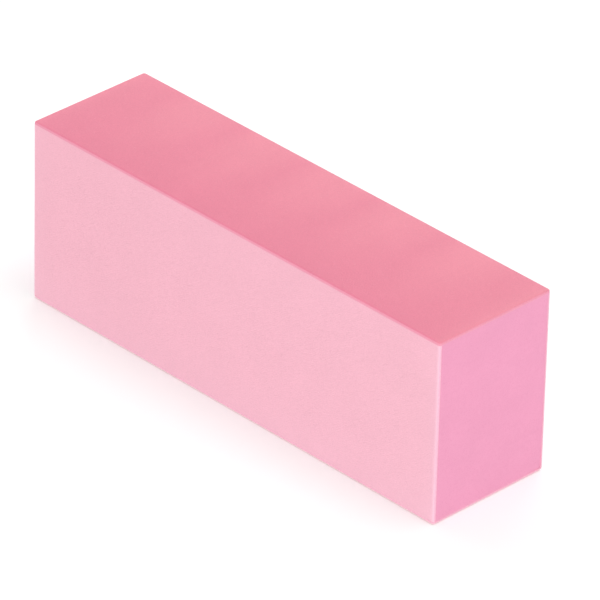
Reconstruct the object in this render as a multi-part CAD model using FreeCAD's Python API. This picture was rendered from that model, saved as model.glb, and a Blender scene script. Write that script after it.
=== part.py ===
import FreeCAD, Part
import os

# Nail buffer block: a firm foam core, left bare at its two sawn ends, with an abrasive
# sheet bonded to each of its four long sides. Millimetres. X runs along the block, Y runs
# from the front working side to the back one, and Z is up. The block stands on one narrow
# side, and the origin is the middle of that side.

# Driving dimensions of the whole block
block_length = 95.0
block_width = 25.0
block_height = 34.0

# Build-up of an abrasive sheet, from the foam outwards
adhesive_thickness = 0.10
backing_thickness = 0.30
grit_thickness = 0.20

# How far the twelve outer edges are worn round, which is less than a sheet's thickness
edge_radius = 0.50

# The layers of a sheet in the order in which they lie on the foam
SHEET_LAYERS = (
    ("adhesive_film", adhesive_thickness),
    ("backing_sheet", backing_thickness),
    ("grit_coat", grit_thickness),
)
sheet_thickness = adhesive_thickness + backing_thickness + grit_thickness

# The foam left between the sheets
core_width = block_width - 2 * sheet_thickness
core_height = block_height - 2 * sheet_thickness


def centred_box(length, width, low, high):
    """A box centred on X = 0 and Y = 0 that runs from Z = low to Z = high."""
    corner = FreeCAD.Vector(-length / 2, -width / 2, low)
    return Part.makeBox(length, width, high - low, corner)


def worn_block():
    """The outside of the finished block, with its twelve edges worn round."""
    block = centred_box(block_length, block_width, 0.0, block_height)
    return block.makeFillet(edge_radius, block.Edges)


def core_block():
    """The foam core, which stops one sheet thickness inside each long side."""
    top = block_height - sheet_thickness
    return centred_box(block_length, core_width, sheet_thickness, top)


def wide_side_layer(side, depth, thickness):
    """A layer of a front (side -1) or back (side +1) sheet, depth under the surface.

    These two sheets go on first and are cut level with the foam, so they are as tall as
    the core.
    """
    outer = block_width / 2 - depth
    low_y = outer - thickness if side > 0 else -outer
    corner = FreeCAD.Vector(-block_length / 2, low_y, sheet_thickness)
    return Part.makeBox(block_length, thickness, core_height, corner)


def narrow_side_layer(side, depth, thickness):
    """A layer of a bottom (side -1) or top (side +1) sheet, depth under the surface.

    These two sheets go on last. They run the full width of the block and lap over the cut
    edges of the front and back sheets.
    """
    low = block_height - depth - thickness if side > 0 else depth
    return centred_box(block_length, block_width, low, low + thickness)


SIDES = (
    ("front", wide_side_layer, -1),
    ("back", wide_side_layer, 1),
    ("bottom", narrow_side_layer, -1),
    ("top", narrow_side_layer, 1),
)


def build_nodes():
    """Every piece of the block by its name, each trimmed to the worn outside."""
    outside = worn_block()
    nodes = {"foam_core": core_block().common(outside)}
    for name, make_layer, side in SIDES:
        depth = sheet_thickness
        for layer, thickness in SHEET_LAYERS:
            depth -= thickness
            slab = make_layer(side, depth, thickness)
            nodes[f"{name}_{layer}"] = slab.common(outside)
    return nodes


def single_solid(shape):
    """The one solid in the result of a cut, with no compound around it."""
    if len(shape.Solids) != 1:
        raise ValueError(f"expected one solid, found {len(shape.Solids)}")
    return shape.Solids[0]


os.makedirs("parts", exist_ok=True)
for node, shape in build_nodes().items():
    solid = single_solid(shape)
    solid.exportStep(f"parts/{node}.step")
    print(f"{node}: {solid.Volume:.1f} mm3, valid {solid.isValid()}")
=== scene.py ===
import logging
import math
from dataclasses import dataclass, field
from enum import Enum, IntEnum

import bpy
import numpy as np
from mathutils import Matrix, Vector


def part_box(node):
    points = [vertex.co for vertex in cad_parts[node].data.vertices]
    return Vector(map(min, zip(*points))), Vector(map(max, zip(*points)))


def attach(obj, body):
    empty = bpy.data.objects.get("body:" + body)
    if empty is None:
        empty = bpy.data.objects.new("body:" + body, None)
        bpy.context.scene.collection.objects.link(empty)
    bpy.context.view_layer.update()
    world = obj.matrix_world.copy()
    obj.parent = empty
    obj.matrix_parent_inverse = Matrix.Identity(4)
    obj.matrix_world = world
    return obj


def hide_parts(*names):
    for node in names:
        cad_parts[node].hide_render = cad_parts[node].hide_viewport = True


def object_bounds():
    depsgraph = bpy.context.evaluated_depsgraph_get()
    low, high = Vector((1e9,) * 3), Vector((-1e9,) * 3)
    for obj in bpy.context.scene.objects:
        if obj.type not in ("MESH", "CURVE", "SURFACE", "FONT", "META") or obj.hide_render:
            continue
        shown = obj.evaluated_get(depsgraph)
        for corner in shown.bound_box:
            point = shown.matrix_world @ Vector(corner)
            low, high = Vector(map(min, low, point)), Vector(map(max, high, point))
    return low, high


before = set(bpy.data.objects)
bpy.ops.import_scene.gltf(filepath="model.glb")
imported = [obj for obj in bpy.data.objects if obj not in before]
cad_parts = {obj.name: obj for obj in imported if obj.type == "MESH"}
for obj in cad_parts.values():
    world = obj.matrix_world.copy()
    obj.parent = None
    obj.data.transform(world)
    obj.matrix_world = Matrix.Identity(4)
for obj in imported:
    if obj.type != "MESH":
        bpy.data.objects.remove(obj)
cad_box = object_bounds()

# A nail buffer block: a closed-cell foam core with an abrasive sheet bonded to each of its
# four long sides. Metres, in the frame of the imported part: X along the block, Z up.

MM = 0.001
BODY = "root"
LOG = logging.getLogger("nail_buffer_block")

# How far the block's outer edges are worn round, as in the solids
EDGE_RADIUS = 0.50 * MM
# Faces that meet at more than this angle share a sharp edge
CREASE = math.radians(50)

# Two numbers for each of many places, such as its two coordinates
Pair = tuple[np.ndarray, np.ndarray]
Tree = bpy.types.NodeTree
Socket = bpy.types.NodeSocket


def linear(code: str) -> tuple[float, float, float, float]:
    """Turns an sRGB hex colour into linear red, green, blue and alpha.

    Args:
        code: the colour, such as "#f7bacb".

    Returns:
        Linear values for a colour socket.
    """
    shares = [int(code[i:i + 2], 16) / 255 for i in (1, 3, 5)]
    values = [s / 12.92 if s <= 0.04045 else ((s + 0.055) / 1.055) ** 2.4 for s in shares]
    return (*values, 1.0)


def per_metre(size_mm: float) -> float:
    """The scale of a texture node whose features are to be size_mm across."""
    return 1.0 / (size_mm * MM)


def add_node(
    tree: Tree,
    kind: str,
    settings: dict | None = None,
    links: dict | None = None,
) -> bpy.types.Node:
    """Adds a node with its settings and links.

    Args:
        tree: the node tree that gets it.
        kind: the node's type, such as "ShaderNodeTexNoise".
        settings: values by the name of a property, or by the name or index of an input.
        links: output sockets by the name or index of the input that they feed.

    Returns:
        The new node.
    """
    node = tree.nodes.new(kind)
    for key, value in (settings or {}).items():
        if isinstance(key, int) or key in node.inputs:
            node.inputs[key].default_value = value
        else:
            setattr(node, key, value)
    for key, socket in (links or {}).items():
        tree.links.new(socket, node.inputs[key])
    return node


def new_material(name: str) -> tuple[bpy.types.Material, Tree]:
    """Makes a node material with nothing in it yet.

    Args:
        name: what the finish is.

    Returns:
        The material and its node tree.
    """
    material = bpy.data.materials.new(name)
    material.use_nodes = True
    material.node_tree.nodes.clear()
    return material, material.node_tree


# --------------------------------------------------------------------------- fields


def eased(share: np.ndarray) -> np.ndarray:
    """The same shares, from 0 to 1, with a gentle start and end."""
    return share * share * (3 - 2 * share)


def smooth_field(u: np.ndarray, v: np.ndarray, pitch: float, seed: int) -> np.ndarray:
    """Soft random hills, from -1 to 1, about pitch apart.

    Args:
        u: first coordinate of each place.
        v: second coordinate of each place.
        pitch: distance from one hill to the next.
        seed: which hills.

    Returns:
        A height for each place.
    """
    a, b = (u - u.min()) / pitch, (v - v.min()) / pitch
    heights = np.random.default_rng(seed).uniform(-1, 1, (int(a.max()) + 2, int(b.max()) + 2))
    i, j = a.astype(int), b.astype(int)
    s, t = eased(a - i), eased(b - j)
    low = heights[i, j] * (1 - s) + heights[i + 1, j] * s
    high = heights[i, j + 1] * (1 - s) + heights[i + 1, j + 1] * s
    return low * (1 - t) + high * t


def cell_field(u: np.ndarray, v: np.ndarray, pitch: float, seed: int) -> Pair:
    """Packed round cells, about pitch across.

    Args:
        u: first coordinate of each place.
        v: second coordinate of each place.
        pitch: distance from one cell's middle to the next.
        seed: which cells.

    Returns:
        How deep in its cell each place is, from 0 on a wall to 1 in the middle, and the
        random number, from 0 to 1, of that cell.
    """
    # A spare row of cells all round gives the places at the edge their neighbours
    a, b = (u - u.min()) / pitch + 1, (v - v.min()) / pitch + 1
    i, j = a.astype(int), b.astype(int)
    shape = (int(a.max()) + 3, int(b.max()) + 3)
    place_a, place_b, number = np.random.default_rng(seed).uniform(0, 1, (3, *shape))
    first = np.full(a.shape, np.inf)
    second = np.full(a.shape, np.inf)
    found = np.zeros(a.shape)
    for step_i in (-1, 0, 1):
        for step_j in (-1, 0, 1):
            m, n = i + step_i, j + step_j
            away = np.hypot(m + place_a[m, n] - a, n + place_b[m, n] - b)
            nearer = away < first
            second = np.where(nearer, first, np.minimum(second, away))
            found = np.where(nearer, number[m, n], found)
            first = np.where(nearer, away, first)
    return np.clip((second - first) / (second + first), 0, 1), found


# --------------------------------------------------------------------------- meshes


@dataclass
class MeshDraft:
    """Points, faces and point values of a piece that is being put together."""

    points: list[np.ndarray] = field(default_factory=list)
    faces: list[list[int]] = field(default_factory=list)
    values: dict[str, list[np.ndarray]] = field(default_factory=dict)
    count: int = 0

    def add_points(self, points: np.ndarray, **values: np.ndarray | float) -> int:
        """Adds points, with a value each for every named attribute.

        Args:
            points: an array of places, three numbers each.
            values: attribute values, one for each point or one for all.

        Returns:
            The index of the first of them.
        """
        flat = points.reshape(-1, 3)
        self.points.append(flat)
        for name, value in values.items():
            spread = np.broadcast_to(np.asarray(value, float).reshape(-1), (len(flat),))
            self.values.setdefault(name, []).append(spread)
        start = self.count
        self.count += len(flat)
        return start

    def add_grid(self, start: int, rows: int, columns: int) -> None:
        """Adds the quads of a grid of points that was added row by row.

        Args:
            start: the index of the grid's first point.
            rows: how many rows it has.
            columns: how many points are in a row.
        """
        index = start + np.arange(rows * columns).reshape(rows, columns)
        quads = np.stack([index[:-1, :-1], index[1:, :-1], index[1:, 1:], index[:-1, 1:]], -1)
        self.faces += quads.reshape(-1, 4).tolist()

    def add_wall(self, lower: np.ndarray, upper: np.ndarray) -> None:
        """Adds the quads between two closed loops of as many points, given by index."""
        quads = np.stack([lower, np.roll(lower, -1), np.roll(upper, -1), upper], -1)
        self.faces += quads.tolist()

    def build(self, name: str) -> bpy.types.Object:
        """Makes the object, shaded smooth but for its creases.

        Args:
            name: the piece's name.

        Returns:
            The new object, in the scene.
        """
        mesh = bpy.data.meshes.new(name)
        mesh.from_pydata(np.concatenate(self.points).tolist(), [], self.faces)
        for key, parts in self.values.items():
            attribute = mesh.attributes.new(key, "FLOAT", "POINT")
            attribute.data.foreach_set("value", np.concatenate(parts).astype(np.float32))
        mesh.polygons.foreach_set("use_smooth", np.full(len(mesh.polygons), True))
        mesh.validate()
        mesh.update()
        mesh.set_sharp_from_angle(angle=CREASE)
        piece = bpy.data.objects.new(name, mesh)
        bpy.context.scene.collection.objects.link(piece)
        return piece


@dataclass(frozen=True)
class Rim:
    """The closed loop round a grid of rows (along u) and columns (along v)."""

    rows: int
    columns: int

    def places(self) -> Pair:
        """Goes once round the loop, anticlockwise from the first point.

        Returns:
            The row and the column of each point of the loop.
        """
        last_row, last_column = self.rows - 1, self.columns - 1
        up, across = np.arange(last_row), np.arange(last_column)
        row = [up, np.full(last_column, last_row), last_row - up, np.zeros(last_column, int)]
        column = [
            np.zeros(last_row, int), across, np.full(last_row, last_column), last_column - across
        ]
        return np.concatenate(row), np.concatenate(column)

    def cap(self, loop: np.ndarray) -> list[list[int]]:
        """Strips that close the loop, from one long side to the other.

        Args:
            loop: index of each point of the loop, in the order of places.

        Returns:
            Faces that look the way the grid does.
        """
        last_row, last_column = self.rows - 1, self.columns - 1
        near = loop[: last_row + 1]
        far = loop[last_row + last_column: 2 * last_row + last_column + 1][::-1]
        strips = [[near[k], near[k + 1], far[k + 1], far[k]] for k in range(1, last_row - 1)]
        first = [near[0], near[1], far[1], *loop[2 * last_row + last_column:]]
        last = [near[-2], *loop[last_row: last_row + last_column + 1], far[-2]]
        return [[int(k) for k in face] for face in (first, *strips, last)]


def spaced(half: float, step: float, near_edge: tuple[float, ...] = ()) -> np.ndarray:
    """Evenly spaced lines from -half to half, with closer ones near both edges.

    Args:
        half: where the last line lies.
        step: the longest distance between lines.
        near_edge: distances inside the edge at which there is a line, from the edge in.

    Returns:
        Their places, in rising order.
    """
    inner = half - (near_edge[-1] if near_edge else 0.0)
    middle = np.linspace(-inner, inner, max(2, math.ceil(2 * inner / step) + 1))
    edge = half - np.array([0.0, *near_edge[:-1]]) if near_edge else np.array([])
    return np.concatenate([-edge, middle, edge[::-1]])


# ------------------------------------------------------------------------- finishes


@dataclass(frozen=True)
class RoundPits:
    """Round pits of mixed sizes, each one's radius a random share of their pitch."""

    pitch_mm: float
    smallest: float = 0.25
    largest: float = 0.62
    # A pit's floor is flat out to this share of its radius
    flat_share: float = 0.35

    def add(self, tree: Tree, place: Socket) -> Socket:
        """Adds the pits to a material.

        Args:
            tree: the node tree that gets the nodes.
            place: where the surface is, in metres.

        Returns:
            A socket that is 0 on the walls and 1 in the middle of each pit.
        """
        cells = add_node(
            tree, "ShaderNodeTexVoronoi", {"Scale": per_metre(self.pitch_mm)}, {"Vector": place}
        )
        chance = add_node(tree, "ShaderNodeSeparateColor", links={0: cells.outputs["Color"]})
        radius = add_node(
            tree,
            "ShaderNodeMapRange",
            {"To Min": self.smallest, "To Max": self.largest},
            {"Value": chance.outputs[0]},
        )
        share = add_node(
            tree,
            "ShaderNodeMath",
            {"operation": "DIVIDE"},
            {0: cells.outputs["Distance"], 1: radius.outputs[0]},
        )
        pits = add_node(
            tree,
            "ShaderNodeMapRange",
            {"interpolation_type": "SMOOTHSTEP", "From Min": 1.0, "From Max": self.flat_share},
            {"Value": share.outputs[0]},
        )
        return pits.outputs[0]


@dataclass(frozen=True)
class ClosedCellFoam:
    """Closed-cell EVA foam, sawn across.

    The saw opens the cells, so the surface is matte, with tiny round pits, drawn deeper in
    colour than the walls between them as painted shade, and faint slanting lines where the
    blade went.
    """

    wall: str = "#f0a2c1"
    # The pit's deeper colour is painted shade in the cells
    pit: str = "#e792b4"
    ior: float = 1.49
    roughness: float = 0.85
    specular: float = 0.3
    # Real cells are 0.1 to 0.2 mm across, the larger of them drawn a third coarser
    cell_mm: float = 0.27
    small_cell_mm: float = 0.12
    small_cell_share: float = 0.4
    # Painted shade: how far the cells take the colour from the wall's to the pit's
    cell_tint: float = 0.25
    cell_relief: float = 0.8
    cloud_mm: float = 7.0
    # The blade's lines are long for their spacing, and slant by this angle in radians
    saw_line_mm: float = 0.45
    saw_line_squeeze: float = 0.05
    saw_line_share: float = 0.3
    saw_slant: float = 0.38
    # The clouds and lines together lighten and darken the foam by this share
    mottle: float = 0.02
    mottle_span: tuple[float, float] = (0.4, 0.9)
    bump_strength: float = 0.5
    bump_height: float = 0.03 * MM

    def add_cells(self, tree: Tree, place: Socket) -> Socket:
        """Adds the opened cells.

        Args:
            tree: the node tree that gets the nodes.
            place: where the surface is, in metres.

        Returns:
            A socket that rises with the depth in the large and the small cells.
        """
        cells = RoundPits(self.cell_mm).add(tree, place)
        small_cells = RoundPits(self.small_cell_mm).add(tree, place)
        depth = add_node(
            tree,
            "ShaderNodeMath",
            {"operation": "MULTIPLY_ADD", 1: self.small_cell_share},
            {0: small_cells, 2: cells},
        )
        return depth.outputs[0]

    def add_saw_lines(self, tree: Tree, place: Socket) -> Socket:
        """Adds the blade's lines.

        Args:
            tree: the node tree that gets the nodes.
            place: where the surface is, in metres.

        Returns:
            A socket that is high on a line and low between two.
        """
        slanted = add_node(
            tree,
            "ShaderNodeMapping",
            {"Rotation": (self.saw_slant, 0.0, 0.0), "Scale": (1.0, self.saw_line_squeeze, 1.0)},
            {"Vector": place},
        )
        lines = add_node(
            tree,
            "ShaderNodeTexNoise",
            {"Scale": per_metre(self.saw_line_mm), "Detail": 2.0},
            {"Vector": slanted.outputs[0]},
        )
        return lines.outputs["Fac"]

    def build(self) -> bpy.types.Material:
        """Makes the material, which reads the attribute "pit".

        Returns:
            The foam's material.
        """
        material, tree = new_material("closed_cell_eva_foam")
        place = add_node(tree, "ShaderNodeTexCoord").outputs["Object"]
        modelled = add_node(tree, "ShaderNodeAttribute", {"attribute_name": "pit"})
        depth = self.add_cells(tree, place)
        lines = self.add_saw_lines(tree, place)
        # Painted shade: the cells' depth moves the colour from the wall's to the pit's
        share = add_node(
            tree,
            "ShaderNodeMath",
            {"operation": "MULTIPLY_ADD", 1: self.cell_tint},
            {0: depth, 2: modelled.outputs["Fac"]},
        )
        cell_colour = add_node(
            tree,
            "ShaderNodeMix",
            {"data_type": "RGBA", 6: linear(self.wall), 7: linear(self.pit)},
            {0: share.outputs[0]},
        )
        clouds = add_node(
            tree,
            "ShaderNodeTexNoise",
            {"Scale": per_metre(self.cloud_mm), "Detail": 3.0},
            {"Vector": place},
        )
        mottle = add_node(
            tree,
            "ShaderNodeMath",
            {"operation": "MULTIPLY_ADD", 1: self.saw_line_share},
            {0: lines, 2: clouds.outputs["Fac"]},
        )
        low, high = self.mottle_span
        shade = add_node(
            tree,
            "ShaderNodeMapRange",
            {
                "From Min": low,
                "From Max": high,
                "To Min": 1 - self.mottle,
                "To Max": 1 + self.mottle,
            },
            {"Value": mottle.outputs[0]},
        )
        colour = add_node(
            tree,
            "ShaderNodeVectorMath",
            {"operation": "SCALE"},
            {0: cell_colour.outputs[2], "Scale": shade.outputs[0]},
        )
        relief = add_node(
            tree,
            "ShaderNodeMath",
            {"operation": "MULTIPLY_ADD", 1: -self.cell_relief},
            {0: depth, 2: lines},
        )
        bump = add_node(
            tree,
            "ShaderNodeBump",
            {"Strength": self.bump_strength, "Distance": self.bump_height},
            {"Height": relief.outputs[0]},
        )
        surface = add_node(
            tree,
            "ShaderNodeBsdfPrincipled",
            {"Roughness": self.roughness, "IOR": self.ior, "Specular IOR Level": self.specular},
            {"Base Color": colour.outputs[0], "Normal": bump.outputs[0]},
        )
        add_node(tree, "ShaderNodeOutputMaterial", links={"Surface": surface.outputs[0]})
        return material


@dataclass(frozen=True)
class ResinBondedGrit:
    """Aluminium oxide grit in a tinted resin coat, scattered electrostatically.

    The grains stand on end in the resin, so the coat is matte with an even fine tooth,
    and a grain here and there shows a glassy facet. An attribute moves its colour towards a
    paler one, in part as painted light, and past its own into painted shade along some edges.
    """

    name: str
    coat: str
    thin_coat: str
    ior: float = 1.52
    specular: float = 0.35
    roughness: float = 0.78
    # One grain in twenty-five lies with a smooth facet outwards, with a short blend
    facet_share: float = 0.04
    facet_blend: float = 0.005
    facet_roughness: float = 0.35
    # 180 grit has grains of 0.08 mm, drawn at twice that so that they show
    grain_mm: float = 0.16
    grain_tilt: float = 1.6
    grain_contrast: float = 0.05
    cloud_mm: float = 9.0
    cloud_span: tuple[float, float] = (0.3, 0.7)
    cloud_contrast: float = 0.012
    bump_strength: float = 0.7
    bump_height: float = 0.05 * MM

    def add_shade(self, tree: Tree, place: Socket, chance: Socket) -> Socket:
        """Adds how light the coat is, which changes from grain to grain and in soft clouds.

        Args:
            tree: the node tree that gets the nodes.
            place: where the surface is, in metres.
            chance: a random number for each grain.

        Returns:
            A socket with the share of the coat's colour that comes back.
        """
        clouds = add_node(
            tree,
            "ShaderNodeTexNoise",
            {"Scale": per_metre(self.cloud_mm), "Detail": 4.0},
            {"Vector": place},
        )
        low, high = self.cloud_span
        cloud_shade = add_node(
            tree,
            "ShaderNodeMapRange",
            {
                "From Min": low,
                "From Max": high,
                "To Min": 1 - self.cloud_contrast - self.grain_contrast / 2,
                "To Max": 1 + self.cloud_contrast - self.grain_contrast / 2,
            },
            {"Value": clouds.outputs["Fac"]},
        )
        shade = add_node(
            tree,
            "ShaderNodeMath",
            {"operation": "MULTIPLY_ADD", 1: self.grain_contrast},
            {0: chance, 2: cloud_shade.outputs[0]},
        )
        return shade.outputs[0]

    def add_relief(self, tree: Tree, place: Socket, grains: bpy.types.Node) -> Socket:
        """Adds the grains' relief: crushed grain is angular, and each leans its own way.

        Args:
            tree: the node tree that gets the nodes.
            place: where the surface is, in metres.
            grains: the cells that the grains fill.

        Returns:
            A socket with the height of the coat.
        """
        dome = add_node(
            tree,
            "ShaderNodeMath",
            {"operation": "SUBTRACT", 0: 1.0},
            {1: grains.outputs["Distance"]},
        )
        from_middle = add_node(
            tree,
            "ShaderNodeVectorMath",
            {"operation": "SUBTRACT"},
            {0: place, 1: grains.outputs["Position"]},
        )
        # A grain's random colour, less its middle value, is the way that it leans
        lean = add_node(
            tree,
            "ShaderNodeVectorMath",
            {"operation": "SUBTRACT", 1: (0.5, 0.5, 0.5)},
            {0: grains.outputs["Color"]},
        )
        rise = add_node(
            tree,
            "ShaderNodeVectorMath",
            {"operation": "DOT_PRODUCT"},
            {0: from_middle.outputs[0], 1: lean.outputs[0]},
        )
        height = add_node(
            tree,
            "ShaderNodeMath",
            {"operation": "MULTIPLY_ADD", 1: self.grain_tilt * per_metre(self.grain_mm)},
            {0: rise.outputs["Value"], 2: dome.outputs[0]},
        )
        return height.outputs[0]

    def build(self) -> bpy.types.Material:
        """Makes the material, which reads the coat's paleness, painted light and painted shade
        from an attribute.

        Returns:
            The coat's material.
        """
        material, tree = new_material(self.name)
        place = add_node(tree, "ShaderNodeTexCoord").outputs["Object"]
        thin = add_node(tree, "ShaderNodeAttribute", {"attribute_name": "thin"})
        grains = add_node(
            tree, "ShaderNodeTexVoronoi", {"Scale": per_metre(self.grain_mm)}, {"Vector": place}
        )
        chance = add_node(tree, "ShaderNodeSeparateColor", links={0: grains.outputs["Color"]})
        # Paleness and painted light move the colour towards the pale one, and painted shade past
        # its own
        coat = add_node(
            tree,
            "ShaderNodeMix",
            {
                "data_type": "RGBA",
                "clamp_factor": False,
                6: linear(self.coat),
                7: linear(self.thin_coat),
            },
            {0: thin.outputs["Fac"]},
        )
        colour = add_node(
            tree,
            "ShaderNodeVectorMath",
            {"operation": "SCALE"},
            {0: coat.outputs[2], "Scale": self.add_shade(tree, place, chance.outputs[0])},
        )
        facet = add_node(
            tree,
            "ShaderNodeMapRange",
            {
                "From Min": 1 - self.facet_share - self.facet_blend,
                "From Max": 1 - self.facet_share + self.facet_blend,
                "To Min": self.roughness,
                "To Max": self.facet_roughness,
            },
            {"Value": chance.outputs[1]},
        )
        bump = add_node(
            tree,
            "ShaderNodeBump",
            {"Strength": self.bump_strength, "Distance": self.bump_height},
            {"Height": self.add_relief(tree, place, grains)},
        )
        surface = add_node(
            tree,
            "ShaderNodeBsdfPrincipled",
            {"IOR": self.ior, "Specular IOR Level": self.specular},
            {
                "Base Color": colour.outputs[0],
                "Roughness": facet.outputs[0],
                "Normal": bump.outputs[0],
            },
        )
        add_node(tree, "ShaderNodeOutputMaterial", links={"Surface": surface.outputs[0]})
        return material


@dataclass(frozen=True)
class LatexPaper:
    """Latex-saturated paper, guillotined.

    The cut leaves short soft fibres along the edge, which scatter the light.
    """

    name: str
    paper: str
    fibre: str
    ior: float = 1.5
    roughness: float = 0.88
    specular: float = 0.3
    # Real fibres are 0.02 to 0.04 mm thick, drawn coarser so that they show
    fibre_mm: float = 0.12
    # They lie in the sheet, so they are longer across the block than they are thick
    fibre_squeeze: tuple[float, float, float] = (1.0, 0.5, 0.25)
    fibre_span: tuple[float, float] = (0.35, 0.65)
    bump_strength: float = 0.5
    bump_height: float = 0.03 * MM

    def build(self) -> bpy.types.Material:
        """Makes the material.

        Returns:
            The backing sheet's material.
        """
        material, tree = new_material(self.name)
        place = add_node(tree, "ShaderNodeTexCoord").outputs["Object"]
        stretched = add_node(
            tree, "ShaderNodeMapping", {"Scale": self.fibre_squeeze}, {"Vector": place}
        )
        fibres = add_node(
            tree,
            "ShaderNodeTexNoise",
            {"Scale": per_metre(self.fibre_mm), "Detail": 3.0, "Roughness": 0.6},
            {"Vector": stretched.outputs[0]},
        )
        low, high = self.fibre_span
        share = add_node(
            tree,
            "ShaderNodeMapRange",
            {"From Min": low, "From Max": high},
            {"Value": fibres.outputs["Fac"]},
        )
        colour = add_node(
            tree,
            "ShaderNodeMix",
            {"data_type": "RGBA", 6: linear(self.paper), 7: linear(self.fibre)},
            {0: share.outputs[0]},
        )
        bump = add_node(
            tree,
            "ShaderNodeBump",
            {"Strength": self.bump_strength, "Distance": self.bump_height},
            {"Height": fibres.outputs["Fac"]},
        )
        surface = add_node(
            tree,
            "ShaderNodeBsdfPrincipled",
            {"Roughness": self.roughness, "IOR": self.ior, "Specular IOR Level": self.specular},
            {"Base Color": colour.outputs[2], "Normal": bump.outputs[0]},
        )
        add_node(tree, "ShaderNodeOutputMaterial", links={"Surface": surface.outputs[0]})
        return material


@dataclass(frozen=True)
class AcrylicAdhesive:
    """Acrylic transfer adhesive, squeezed between sheet and foam.

    It shows as a thin line with a soft gloss, a little deeper in colour than the paper.
    """

    clear: str = "#ec9ab2"
    cloudy: str = "#f1a9bf"
    ior: float = 1.47
    # Clear streaks are glossier than cloudy ones
    clear_roughness: float = 0.34
    cloudy_roughness: float = 0.54
    streak_mm: float = 0.8

    def build(self) -> bpy.types.Material:
        """Makes the material.

        Returns:
            The adhesive film's material.
        """
        material, tree = new_material("acrylic_transfer_adhesive")
        place = add_node(tree, "ShaderNodeTexCoord").outputs["Object"]
        streaks = add_node(
            tree,
            "ShaderNodeTexNoise",
            {"Scale": per_metre(self.streak_mm), "Detail": 2.0},
            {"Vector": place},
        )
        colour = add_node(
            tree,
            "ShaderNodeMix",
            {"data_type": "RGBA", 6: linear(self.clear), 7: linear(self.cloudy)},
            {0: streaks.outputs["Fac"]},
        )
        gloss = add_node(
            tree,
            "ShaderNodeMapRange",
            {"To Min": self.clear_roughness, "To Max": self.cloudy_roughness},
            {"Value": streaks.outputs["Fac"]},
        )
        surface = add_node(
            tree,
            "ShaderNodeBsdfPrincipled",
            {"IOR": self.ior},
            {"Base Color": colour.outputs[2], "Roughness": gloss.outputs[0]},
        )
        add_node(tree, "ShaderNodeOutputMaterial", links={"Surface": surface.outputs[0]})
        return material


# --------------------------------------------------------------------------- sheets


class Side(Enum):
    """A long side of the block: its name, the way it faces and the way across it."""

    FRONT = ("front", (0, -1, 0), (0, 0, 1))
    BACK = ("back", (0, 1, 0), (0, 0, -1))
    BOTTOM = ("bottom", (0, 0, -1), (0, -1, 0))
    TOP = ("top", (0, 0, 1), (0, 1, 0))

    @property
    def label(self) -> str:
        """The word that its nodes start with."""
        return self.value[0]

    @property
    def outward(self) -> np.ndarray:
        """The way it faces."""
        return np.array(self.value[1], float)

    @property
    def across(self) -> np.ndarray:
        """The way across it, so that along, across and outward are right-handed."""
        return np.array(self.value[2], float)

    @property
    def laps(self) -> bool:
        """Whether its sheet laps over the others, out to the block's own long edges."""
        return self in (Side.BOTTOM, Side.TOP)


class Layer(Enum):
    """A layer of a sheet, from the foam outwards."""

    ADHESIVE = "adhesive_film"
    BACKING = "backing_sheet"
    GRIT = "grit_coat"


class SheetDraw(IntEnum):
    """What a sheet's random draws are for, each as a step on from the sheet's seed."""

    GRAINS = 0
    CLUMPS = 1
    NIBBLES = 3
    FANS = 7
    CUT_EDGES = 24


@dataclass(frozen=True)
class SheetPlan:
    """Where an abrasive sheet lies, worked out from its solids."""

    side: Side
    origin: np.ndarray
    half_length: float
    half_width: float
    edges: dict[Layer, tuple[float, float]]

    @classmethod
    def on(cls, side: Side) -> "SheetPlan":
        """Reads the plan of a side's sheet from its solids.

        Args:
            side: which side of the block.

        Returns:
            The plan, with each layer's outer and inner depth under the block's face.
        """
        boxes = {layer: np.array(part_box(f"{side.label}_{layer.value}")) for layer in Layer}
        low, high = boxes[Layer.ADHESIVE]
        face = (boxes[Layer.GRIT] @ side.outward).max()
        edges = {}
        for layer, corners in boxes.items():
            reach = corners @ side.outward
            edges[layer] = (face - reach.max(), face - reach.min())
        middle = (low + high) / 2
        origin = middle + side.outward * (face - middle @ side.outward)
        half_width = abs((high - low) @ side.across) / 2
        return cls(side, origin, (high[0] - low[0]) / 2, half_width, edges)

    def place(self, u: np.ndarray, v: np.ndarray, out: np.ndarray | float) -> np.ndarray:
        """Places in the block's frame.

        Args:
            u: how far along the block from its middle.
            v: how far across the side from its middle.
            out: how far out from the block's face, negative inside.

        Returns:
            An array of places, three numbers each.
        """
        u, v, out = (part[..., None] for part in np.broadcast_arrays(u, v, out))
        along = np.array([1.0, 0.0, 0.0])
        return self.origin + (u * along + v * self.side.across + out * self.side.outward)

    def overhang(self, u: np.ndarray, v: np.ndarray) -> Pair:
        """How far each place lies past the start of the worn edges.

        Args:
            u: how far along the sheet each place is.
            v: how far across it each place is.

        Returns:
            The distances past it along and across, 0 on the flat.
        """
        past_u = np.maximum(np.abs(u) - (self.half_length - EDGE_RADIUS), 0)
        if not self.side.laps:
            return past_u, np.zeros_like(v)
        return past_u, np.maximum(np.abs(v) - (self.half_width - EDGE_RADIUS), 0)

    def rounded(self, u: np.ndarray, v: np.ndarray) -> Pair:
        """Draws in the corners of a square outline to the block's worn corners.

        Args:
            u: how far along the sheet each place is.
            v: how far across it each place is.

        Returns:
            The new places, along and across.
        """
        past_u, past_v = self.overhang(u, v)
        straight = np.hypot(past_u, past_v)
        furthest = np.maximum(past_u, past_v)
        share = np.divide(furthest, straight, out=np.ones_like(u), where=straight > 0)
        return u - np.sign(u) * past_u * (1 - share), v - np.sign(v) * past_v * (1 - share)

    def worn_depth(self, u: np.ndarray, v: np.ndarray) -> np.ndarray:
        """How far under the face the worn outside lies, before the corners are drawn in."""
        past = np.maximum(*self.overhang(u, v))
        return EDGE_RADIUS - np.sqrt(np.maximum(EDGE_RADIUS**2 - past**2, 0))


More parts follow.
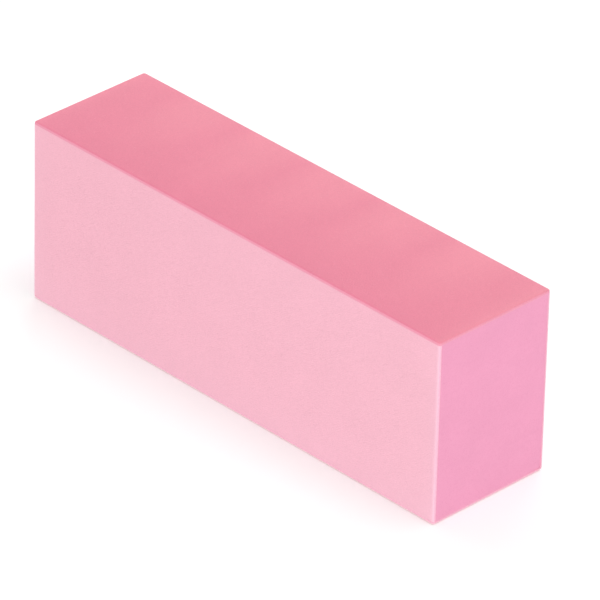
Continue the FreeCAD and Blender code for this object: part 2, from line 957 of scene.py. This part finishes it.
def worn_inset(depth: float) -> float:
    """How far a worn edge is set in from the square one, at a depth under the face."""
    left = max(EDGE_RADIUS - depth, 0.0)
    return EDGE_RADIUS - math.sqrt(EDGE_RADIUS**2 - left**2)


@dataclass(frozen=True)
class CoatFans:
    """Pale fans along one long edge of a sheet, in which the coat also dips a little."""

    count: int = 5
    first: float = 15.6 * MM
    pitch: float = 15.8 * MM
    longest: float = 26.0 * MM
    # How much shorter a fan is at its sides than down its middle, as a share
    taper: float = 0.5
    # Each fan comes up over less of the pitch than it dies away
    rise: float = 0.42
    # A fan strays from its place by up to this share of the pitch
    drift: float = 0.05
    drift_pitch: float = 23.0 * MM
    # Fine streaks run across the sheet and vary the fans
    streak_pitch: float = 0.9 * MM
    streak_squeeze: float = 0.06
    streak_contrast: float = 0.15
    height: float = 0.03 * MM
    # How pale the coat grows towards that edge everywhere, and how much more in a fan
    edge_share: float = 0.46
    edge_power: float = 0.7
    fan_share: float = 0.46

    def strength(self, plan: SheetPlan, u: np.ndarray, v: np.ndarray, seed: int) -> np.ndarray:
        """How far each place lies in a fan, from 0 to 1.

        Args:
            plan: the sheet that has the fans.
            u: how far along it each place is.
            v: how far across it each place is.
            seed: which sheet's streaks.

        Returns:
            An array of shares.
        """
        drift = self.drift * smooth_field(u, v, self.drift_pitch, seed)
        turn = (u + plan.half_length - self.first) / self.pitch + drift
        offset = turn - np.clip(np.floor(turn + self.rise), 0, self.count - 1)
        off_middle = np.minimum(np.maximum(-offset / self.rise, offset / (1 - self.rise)), 1)
        reach = self.longest * (1 - self.taper * off_middle**2)
        into = np.clip(1 - (plan.half_width - v) / reach, 0, 1)
        streaks = smooth_field(u, self.streak_squeeze * v, self.streak_pitch, seed + 1)
        shade = 1 - self.streak_contrast + self.streak_contrast * streaks
        return (1 - off_middle**2) * eased(into) * shade

    def thinness(self, plan: SheetPlan, v: np.ndarray, fan: np.ndarray) -> np.ndarray:
        """How pale the coat is drawn: a slow change across the sheet, and the fans."""
        across = np.clip(0.5 + v / (2 * plan.half_width), 0, 1) ** self.edge_power
        return self.edge_share * across + self.fan_share * fan


@dataclass(frozen=True)
class CoatWear:
    """How pale a sheet's coat is drawn, 0 for the full coat and 1 for the pale one, with painted
    light and painted shade besides.
    """

    # Both ends are drawn paler, and this share of the paling fades slowly from the end
    end_wear: float
    glow_share: float
    wear_reach: float = 0.38 * MM
    glow_reach: float = 1.6 * MM
    # Painted shade: the coat is drawn darker over the worn edges
    rim_bead: float = 0.0
    # Painted light: the coat is drawn paler low down the block, where the floor's shade falls,
    # and towards its right-hand end, where more light falls
    low_fade: float = 0.0
    low_fade_reach: float = 7.0 * MM
    long_fade: float = 0.0

    def thinness(self, plan: SheetPlan, u: np.ndarray, v: np.ndarray) -> np.ndarray:
        """How pale the coat is drawn at each place, with painted light, and negative where
        painted shade darkens the worn edges.

        Args:
            plan: the sheet that is worn.
            u: how far along it each place is.
            v: how far across it each place is.

        Returns:
            An array of shares.
        """
        end_gap = plan.half_length - np.abs(u)
        sharp = (1 - self.glow_share) * np.exp(-((end_gap / self.wear_reach) ** 2))
        slow = self.glow_share * np.exp(-end_gap / self.glow_reach)
        height = plan.place(u, v, 0.0)[..., 2]
        thin = self.end_wear * (sharp + slow)
        thin += self.low_fade * np.exp(-height / self.low_fade_reach)
        thin += self.long_fade * (0.5 + 0.5 * u / plan.half_length)
        return thin - self.rim_bead * np.maximum(*plan.overhang(u, v)) / EDGE_RADIUS


@dataclass
class AbrasiveSheet:
    """An abrasive sheet: its adhesive film, its backing sheet and its coat of grit."""

    side: Side
    grit_finish: bpy.types.Material
    paper_finish: bpy.types.Material
    adhesive_finish: bpy.types.Material
    grit_slot: str
    paper_slot: str
    wear: CoatWear
    fans: CoatFans | None
    seed: int
    # The coat: its grains, the clumps that they form, and the rim where they break away
    grain_spacing: float = 0.22 * MM
    grain_height: float = 0.03 * MM
    clump_pitch: float = 0.55 * MM
    clump_height: float = 0.02 * MM
    edge_rows: int = 5
    rim_thickness: float = 0.02 * MM
    calm_edge: float = 0.10 * MM
    nibble: float = 0.04 * MM
    nibble_pitch: float = 0.6 * MM
    # The cut edges of the film and the paper, which stand a little inside the coat's
    cut_rows: int = 3
    film_rings: int = 3
    paper_rings: int = 5
    cut_setback: float = 0.035 * MM
    fray: float = 0.02 * MM

    def __post_init__(self) -> None:
        """Works out where the sheet lies."""
        self.plan = SheetPlan.on(self.side)

    def node(self, layer: Layer) -> str:
        """The name of a layer's solid."""
        return f"{self.side.label}_{layer.value}"

    def lines(self, inset: float, rows: int) -> Pair:
        """Grid lines along and across the sheet.

        Args:
            inset: how far the outermost lines are set in from the square edges.
            rows: how many lines bend over each worn edge.

        Returns:
            The lines along the block, and those across the side.
        """
        steepest = math.asin(min(1.0, 1 - inset / EDGE_RADIUS))
        bend = EDGE_RADIUS * np.sin(np.linspace(steepest, 0, rows))
        near_edge = tuple(bend[0] - bend[1:])
        along = spaced(self.plan.half_length - inset, self.grain_spacing, near_edge)
        if self.side.laps:
            return along, spaced(self.plan.half_width - inset, self.grain_spacing, near_edge)
        return along, spaced(self.plan.half_width, self.grain_spacing)

    def tooth(self, u: np.ndarray, v: np.ndarray) -> np.ndarray:
        """How high the grains stand.

        Args:
            u: how far along the sheet each place is.
            v: how far across it each place is.

        Returns:
            Heights, from the block's face down.
        """
        grains = np.random.default_rng(self.seed + SheetDraw.GRAINS).uniform(0, 1, u.shape)
        clumps, chance = cell_field(u, v, self.clump_pitch, self.seed + SheetDraw.CLUMPS)
        return self.grain_height * (grains - 1) + self.clump_height * (clumps * chance - 1)

    def nibbled(self, u: np.ndarray, v: np.ndarray) -> Pair:
        """Draws the coat's rim in by a little that varies along it, where grains broke away.

        Args:
            u: how far along the sheet each place is.
            v: how far across it each place is.

        Returns:
            The new places, along and across.
        """
        near_end = np.clip(1 - (np.abs(u).max() - np.abs(u)) / EDGE_RADIUS, 0, 1)
        near_side = np.clip(1 - (np.abs(v).max() - np.abs(v)) / EDGE_RADIUS, 0, 1)
        bites = smooth_field(u + v, u - v, self.nibble_pitch, self.seed + SheetDraw.NIBBLES)
        loss = self.nibble * (0.5 + 0.5 * bites)
        across_loss = loss * near_side * self.side.laps
        return u - np.sign(u) * loss * near_end, v - np.sign(v) * across_loss

    def build_grit(self) -> bpy.types.Object:
        """Builds the coat of grit: a closed slab whose outer face is a field of grains.

        Returns:
            The coat.
        """
        outer, inner = self.plan.edges[Layer.GRIT]
        rim_depth = inner - outer - self.rim_thickness
        u_lines, v_lines = self.lines(worn_inset(rim_depth), self.edge_rows)
        u, v = np.meshgrid(u_lines, v_lines, indexing="ij")
        tooth = self.tooth(u, v)
        # Paleness, with painted light low down and towards the right-hand end, and painted shade
        # over the worn edges
        thin = self.wear.thinness(self.plan, u, v)
        if self.fans:
            fan = self.fans.strength(self.plan, u, v, self.seed + SheetDraw.FANS)
            tooth -= self.fans.height * fan
            thin += self.fans.thinness(self.plan, v, fan)
        from_rim = np.minimum(u_lines.max() - np.abs(u), v_lines.max() - np.abs(v))
        calm = np.clip(from_rim / self.calm_edge, 0, 1)
        out = np.maximum(calm * tooth - self.plan.worn_depth(u, v), -rim_depth)
        draft = MeshDraft()
        rim = Rim(*u.shape)
        face_u, face_v = self.nibbled(*self.plan.rounded(u, v))
        start = draft.add_points(self.plan.place(face_u, face_v, out), thin=thin)
        draft.add_grid(start, rim.rows, rim.columns)
        row, column = rim.places()
        top = start + row * rim.columns + column
        edge_u, edge_v = face_u[row, column], face_v[row, column]
        low = draft.add_points(self.plan.place(edge_u, edge_v, -inner), thin=thin[row, column])
        bottom = low + np.arange(len(row))
        draft.add_wall(bottom, top)
        draft.faces += [face[::-1] for face in rim.cap(bottom)]
        return draft.build(self.node(Layer.GRIT))

    def build_flat(self, layer: Layer, ring_count: int, fray: float) -> bpy.types.Object:
        """Builds a flat layer, of which only the cut edge shows.

        Args:
            layer: which layer.
            ring_count: how many rings its edge has, from the outside in.
            fray: how far the rings between the first and the last wander further in.

        Returns:
            The closed slab.
        """
        draft = MeshDraft()
        rng = np.random.default_rng(self.seed + SheetDraw.CUT_EDGES)
        depths = np.linspace(*self.plan.edges[layer], ring_count)
        rim = Rim(*(len(lines) for lines in self.lines(worn_inset(depths[0]), self.cut_rows)))
        row, column = rim.places()
        at_end = (row == 0) | (row == rim.rows - 1)
        at_side = ((column == 0) | (column == rim.columns - 1)) & self.side.laps
        rings = []
        for k, depth in enumerate(depths):
            inset = worn_inset(depth)
            u_lines, v_lines = self.lines(inset, self.cut_rows)
            u, v = self.plan.rounded(u_lines[row], v_lines[column])
            between = 0 < k < ring_count - 1
            wander = max(self.cut_setback - inset, 0) + fray * rng.uniform(0, 1, len(u)) * between
            u = u - np.sign(u) * wander * at_end
            v = v - np.sign(v) * wander * at_side
            rings.append(draft.add_points(self.plan.place(u, v, -depth)) + np.arange(len(u)))
        for upper, lower in zip(rings, rings[1:]):
            draft.add_wall(lower, upper)
        draft.faces += rim.cap(rings[0])
        draft.faces += [face[::-1] for face in rim.cap(rings[-1])]
        return draft.build(self.node(layer))

    def build(self) -> list[bpy.types.Object]:
        """Builds and dresses the three layers.

        Returns:
            The adhesive film, the backing sheet and the grit coat.
        """
        film = self.build_flat(Layer.ADHESIVE, self.film_rings, self.fray / 2)
        paper = self.build_flat(Layer.BACKING, self.paper_rings, self.fray)
        grit = self.build_grit()
        dress(film, self.adhesive_finish, self.node(Layer.ADHESIVE))
        dress(paper, self.paper_finish, self.node(Layer.BACKING))
        dress(grit, self.grit_finish, self.node(Layer.GRIT))
        return [film, paper, grit]


def dress(piece: bpy.types.Object, finish: bpy.types.Material, node: str) -> None:
    """Gives a piece its material and its place in the frame.

    Args:
        piece: the piece, which has its final mesh.
        finish: its material.
        node: the solid that it stands for.
    """
    piece.data.materials.append(finish)
    piece.name = f"{node}_surface"
    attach(piece, BODY)
    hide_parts(node)


# ----------------------------------------------------------------------------- core


class EndDraw(IntEnum):
    """What a foam end's random draws are for, each as a step from the core's seed.

    The right-hand end's seeds step up, and the left-hand end's step down.
    """

    CELLS = 1
    SWELL = 5
    SAW_LINES = 9


@dataclass
class FoamCore:
    """The foam core, whose two sawn ends show its open cells."""

    finish: bpy.types.Material
    node: str = "foam_core"
    mesh_step: float = 0.15 * MM
    cell_pitch: float = 0.40 * MM
    cell_depth: float = 0.03 * MM
    # Painted shade: how much of a modelled cell's depth darkens its colour towards the pit's
    cell_tint: float = 0.35
    swell_pitch: float = 6.0 * MM
    swell_height: float = 0.03 * MM
    saw_line_pitch: float = 0.9 * MM
    saw_line_squeeze: float = 0.05
    saw_line_height: float = 0.012 * MM
    rim_drop: float = 0.02 * MM
    rim_reach: float = 0.25 * MM
    seed: int = 41

    def __post_init__(self) -> None:
        """Works out where the core lies."""
        low, high = (np.array(corner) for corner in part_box(self.node))
        self.middle, self.half = (low + high) / 2, (high - low) / 2

    def build_end(self, draft: MeshDraft, facing: int) -> np.ndarray:
        """Adds one sawn end.

        Args:
            draft: what the end is added to.
            facing: 1 for the right-hand end and -1 for the left-hand one.

        Returns:
            The index of each point of the end, by row along Y and column along Z.
        """
        cells_seed, swell_seed, lines_seed = (self.seed + draw * facing for draw in EndDraw)
        y_lines = spaced(self.half[1], self.mesh_step) * facing
        z_lines = spaced(self.half[2], self.mesh_step)
        y, z = np.meshgrid(y_lines, z_lines, indexing="ij")
        depth, chance = cell_field(y, z, self.cell_pitch, cells_seed)
        pit = depth * chance
        swell = smooth_field(y, z, self.swell_pitch, swell_seed)
        lines = smooth_field(self.saw_line_squeeze * y, z, self.saw_line_pitch, lines_seed)
        from_rim = np.minimum(self.half[1] - np.abs(y), self.half[2] - np.abs(z))
        drop = self.rim_drop * np.exp(-((from_rim / self.rim_reach) ** 2))
        inside = self.swell_height * (1 - swell) + self.saw_line_height * (1 - lines)
        x = facing * (self.half[0] - inside - drop - self.cell_depth * pit)
        places = self.middle + np.stack([x, y, z], -1)
        # The pit attribute carries painted shade for the cells' colour
        start = draft.add_points(places, pit=self.cell_tint * pit)
        draft.add_grid(start, len(y_lines), len(z_lines))
        return start + np.arange(y.size).reshape(y.shape)

    def build(self) -> bpy.types.Object:
        """Builds and dresses the core.

        Returns:
            The core.
        """
        draft = MeshDraft()
        right = self.build_end(draft, 1)
        left = self.build_end(draft, -1)
        row, column = Rim(*right.shape).places()
        draft.add_wall(left[len(left) - 1 - row, column], right[row, column])
        core = draft.build(self.node)
        dress(core, self.finish, self.node)
        return core


# ---------------------------------------------------------------------------- block


@dataclass
class NailBufferBlock:
    """The whole block: the core, two wide sheets and two narrow ones."""

    # The wide coats carry painted light low down and towards the right-hand end, the narrow ones
    # painted shade over their worn edges
    wide_wear: CoatWear = CoatWear(
        end_wear=0.9, glow_share=0.25, low_fade=0.32, long_fade=0.12
    )
    narrow_wear: CoatWear = CoatWear(end_wear=0.65, glow_share=0.7, rim_bead=0.3)
    first_seed: int = 101

    def build(self) -> list[bpy.types.Object]:
        """Builds the core and the four sheets.

        Returns:
            Every piece of the block.
        """
        wide_grit = ResinBondedGrit(
            "pale_pink_aluminium_oxide_grit", coat="#f6b7c7", thin_coat="#fbcadb"
        ).build()
        # Painted shade: the top and bottom coat is drawn a deeper coral than the front and back
        # coat, as the same coat looks where less light falls on it
        narrow_grit = ResinBondedGrit(
            "coral_pink_grit_with_painted_shade", coat="#ee89a0", thin_coat="#f89aab"
        ).build()
        wide_paper = LatexPaper(
            "pale_pink_latex_paper", paper="#f4b8ce", fibre="#f8c5d8"
        ).build()
        narrow_paper = LatexPaper(
            "coral_pink_latex_paper", paper="#ee97ae", fibre="#f2a1b6"
        ).build()
        adhesive = AcrylicAdhesive().build()
        pieces = [FoamCore(ClosedCellFoam().build()).build()]
        for seed, side in enumerate(Side, start=self.first_seed):
            kind = "narrow" if side.laps else "wide"
            sheet = AbrasiveSheet(
                side,
                grit_finish=narrow_grit if side.laps else wide_grit,
                # Painted light: the bottom sheet's cut edge takes the wide sheets' pale paper,
                # which lightens the shade where the block meets the floor
                paper_finish=narrow_paper if side is Side.TOP else wide_paper,
                adhesive_finish=adhesive,
                grit_slot=f"{kind}_grit",
                paper_slot=f"{kind}_backing",
                wear=self.narrow_wear if side.laps else self.wide_wear,
                fans=CoatFans() if side.laps else None,
                seed=seed,
            )
            pieces += sheet.build()
        return pieces


# --------------------------------------------------------------------------- studio


def toward(azimuth: float, elevation: float) -> Vector:
    """The way out from the block at an angle round it and above it, in degrees."""
    a, e = math.radians(azimuth), math.radians(elevation)
    return Vector((math.sin(a) * math.cos(e), -math.cos(a) * math.cos(e), math.sin(e)))


@dataclass(frozen=True)
class Softbox:
    """A square softbox that faces the block. Its angles are in degrees, the rest in metres."""

    name: str
    azimuth: float
    elevation: float
    distance: float
    width: float
    watts: float

    def build(self, target: Vector) -> bpy.types.Object:
        """Hangs the softbox.

        Args:
            target: what it faces.

        Returns:
            The lamp.
        """
        lamp = bpy.data.lights.new(self.name, "AREA")
        lamp.shape, lamp.size, lamp.energy = "SQUARE", self.width, self.watts
        stand = bpy.data.objects.new(self.name, lamp)
        bpy.context.scene.collection.objects.link(stand)
        away = toward(self.azimuth, self.elevation)
        stand.location = target + away * self.distance
        stand.rotation_mode = "QUATERNION"
        stand.rotation_quaternion = (-away).to_track_quat("-Z", "Y")
        return stand


@dataclass(frozen=True)
class LongLensCamera:
    """A long lens that looks down at the block's near upright corner.

    The angles are in degrees, and aim_right and aim_down shift it from the block's middle.
    """

    azimuth: float = 45.31
    elevation: float = 31.05
    roll: float = 1.41
    distance: float = 1.1205
    lens_mm: float = 411.9
    sensor_mm: float = 36.0
    aim_right: float = 2.44 * MM
    aim_down: float = 1.08 * MM
    clip_start: float = 0.05
    clip_end: float = 20.0

    def build(self, target: Vector) -> bpy.types.Object:
        """Places the camera.

        Args:
            target: the middle of the block.

        Returns:
            The camera.
        """
        data = bpy.data.cameras.new("long_lens")
        data.lens, data.sensor_width = self.lens_mm, self.sensor_mm
        data.clip_start, data.clip_end = self.clip_start, self.clip_end
        camera = bpy.data.objects.new("long_lens", data)
        bpy.context.scene.collection.objects.link(camera)
        back = toward(self.azimuth, self.elevation)
        right = (-back).cross(Vector((0, 0, 1))).normalized()
        up = right.cross(-back)
        away = target + back * self.distance
        camera.location = away + right * self.aim_right - up * self.aim_down
        tilt = math.radians(self.roll)
        level_right = right * math.cos(tilt) + up * math.sin(tilt)
        level_up = up * math.cos(tilt) - right * math.sin(tilt)
        turn = Matrix((level_right, level_up, back)).transposed()
        camera.rotation_mode = "QUATERNION"
        camera.rotation_quaternion = turn.to_quaternion()
        bpy.context.scene.camera = camera
        return camera


@dataclass
class WhiteStudio:
    """A white sweep under a soft even light."""

    # What lights the block: the surround, the sweep's paper and the tubes under it
    daylight: float = 0.53
    paper: float = 0.50
    underlight: float = 0.48
    # What the camera sees: a whiter sweep, which glows more the further away it is,
    # because the lamps hang close to the block
    seen_paper: float = 0.95
    seen_glow: float = 0.165
    far_glow: float = 0.80
    near_reach: float = 0.12
    far_reach: float = 0.50
    # The glow that the camera sees on the sweep is a cool white, which takes out the red that the
    # block throws onto it
    glow_tint: str = "#dafff0"
    floor_half: float = 6.0
    # Each softbox's name, azimuth, elevation, distance, width and watts
    softboxes: tuple[Softbox, ...] = (
        Softbox("overhead_softbox", 124.0, 76.0, 0.9, 0.42, 1.83),
        Softbox("front_softbox", 22.0, 12.0, 0.8, 0.5, 2.6),
        Softbox("end_softbox", 95.0, 12.0, 0.9, 0.5, 1.42),
        Softbox("rear_softbox", 215.0, 20.0, 0.9, 0.5, 2.1),
        Softbox("left_softbox", 268.0, 50.0, 0.9, 0.5, 0.9),
    )

    def build_world(self) -> None:
        """An even white surround, pure white wherever it is seen."""
        world = bpy.data.worlds.new("white_surround")
        bpy.context.scene.world = world
        world.use_nodes = True
        tree = world.node_tree
        tree.nodes.clear()
        strength = add_node(
            tree,
            "ShaderNodeMapRange",
            {"To Min": self.daylight, "To Max": 1.0},
            {"Value": seen_share(tree)},
        )
        white = add_node(
            tree,
            "ShaderNodeBackground",
            {"Color": linear("#ffffff")},
            {"Strength": strength.outputs[0]},
        )
        add_node(tree, "ShaderNodeOutputWorld", links={"Surface": white.outputs[0]})

    def sweep_paper(self) -> bpy.types.Material:
        """Seamless paper lit from below too, lifted to white where it is seen.

        Returns:
            The sweep's material, in which the block's soft shadow is left.
        """
        material, tree = new_material("white_seamless_paper")
        sheet = add_node(
            tree, "ShaderNodeBsdfDiffuse", {"Color": (self.paper, self.paper, self.paper, 1)}
        )
        underlight = add_node(tree, "ShaderNodeEmission", {"Strength": self.underlight})
        paper = add_node(
            tree, "ShaderNodeAddShader", links={0: sheet.outputs[0], 1: underlight.outputs[0]}
        )
        dimmed = add_node(
            tree,
            "ShaderNodeBsdfDiffuse",
            {"Color": (self.seen_paper, self.seen_paper, self.seen_paper, 1)},
        )
        away = add_node(
            tree,
            "ShaderNodeVectorMath",
            {"operation": "LENGTH"},
            {0: add_node(tree, "ShaderNodeTexCoord").outputs["Object"]},
        )
        lift = add_node(
            tree,
            "ShaderNodeMapRange",
            {
                "interpolation_type": "SMOOTHSTEP",
                "From Min": self.near_reach,
                "From Max": self.far_reach,
                "To Min": self.seen_glow,
                "To Max": self.far_glow,
            },
            {"Value": away.outputs["Value"]},
        )
        glow = add_node(
            tree,
            "ShaderNodeEmission",
            {"Color": linear(self.glow_tint)},
            {"Strength": lift.outputs[0]},
        )
        lifted = add_node(
            tree, "ShaderNodeAddShader", links={0: dimmed.outputs[0], 1: glow.outputs[0]}
        )
        mixed = add_node(
            tree,
            "ShaderNodeMixShader",
            links={0: seen_share(tree), 1: paper.outputs[0], 2: lifted.outputs[0]},
        )
        add_node(tree, "ShaderNodeOutputMaterial", links={"Surface": mixed.outputs[0]})
        return material

    def build_floor(self) -> bpy.types.Object:
        """Lays the white sweep that the block stands on.

        Returns:
            The floor.
        """
        half = self.floor_half
        corners = [(-half, -half, 0), (half, -half, 0), (half, half, 0), (-half, half, 0)]
        mesh = bpy.data.meshes.new("paper_sweep")
        mesh.from_pydata(corners, [], [(0, 1, 2, 3)])
        floor = bpy.data.objects.new("paper_sweep", mesh)
        bpy.context.scene.collection.objects.link(floor)
        mesh.materials.append(self.sweep_paper())
        return floor

    def build(self, target: Vector) -> None:
        """Builds the surround, the floor and the lamps.

        Args:
            target: the middle of the block, which the lamps face.
        """
        self.build_world()
        self.build_floor()
        for softbox in self.softboxes:
            softbox.build(target)


def seen_share(tree: Tree) -> Socket:
    """A socket that is 1 where the camera sees the surface, itself or in a reflection.

    Args:
        tree: the node tree that reads it.

    Returns:
        The socket.
    """
    path = add_node(tree, "ShaderNodeLightPath")
    either = add_node(
        tree,
        "ShaderNodeMath",
        {"operation": "MAXIMUM"},
        {0: path.outputs["Is Camera Ray"], 1: path.outputs["Is Glossy Ray"]},
    )
    any_ray = add_node(
        tree,
        "ShaderNodeMath",
        {"operation": "MAXIMUM"},
        {0: either.outputs[0], 1: path.outputs["Is Transmission Ray"]},
    )
    return any_ray.outputs[0]


def main() -> None:
    """Builds the block and its studio."""
    logging.basicConfig(level=logging.INFO, format="%(name)s: %(message)s")
    LOG.info("frame: %d solids on %s", len(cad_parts), BODY)
    cad_low, cad_high = cad_box
    middle = (cad_low + cad_high) / 2
    bpy.context.scene.view_settings.view_transform = "Standard"
    LongLensCamera().build(middle)
    WhiteStudio().build(middle)
    for piece in NailBufferBlock().build():
        LOG.info("%s: %d faces", piece.name, len(piece.data.polygons))


if __name__ == "__main__":
    main()
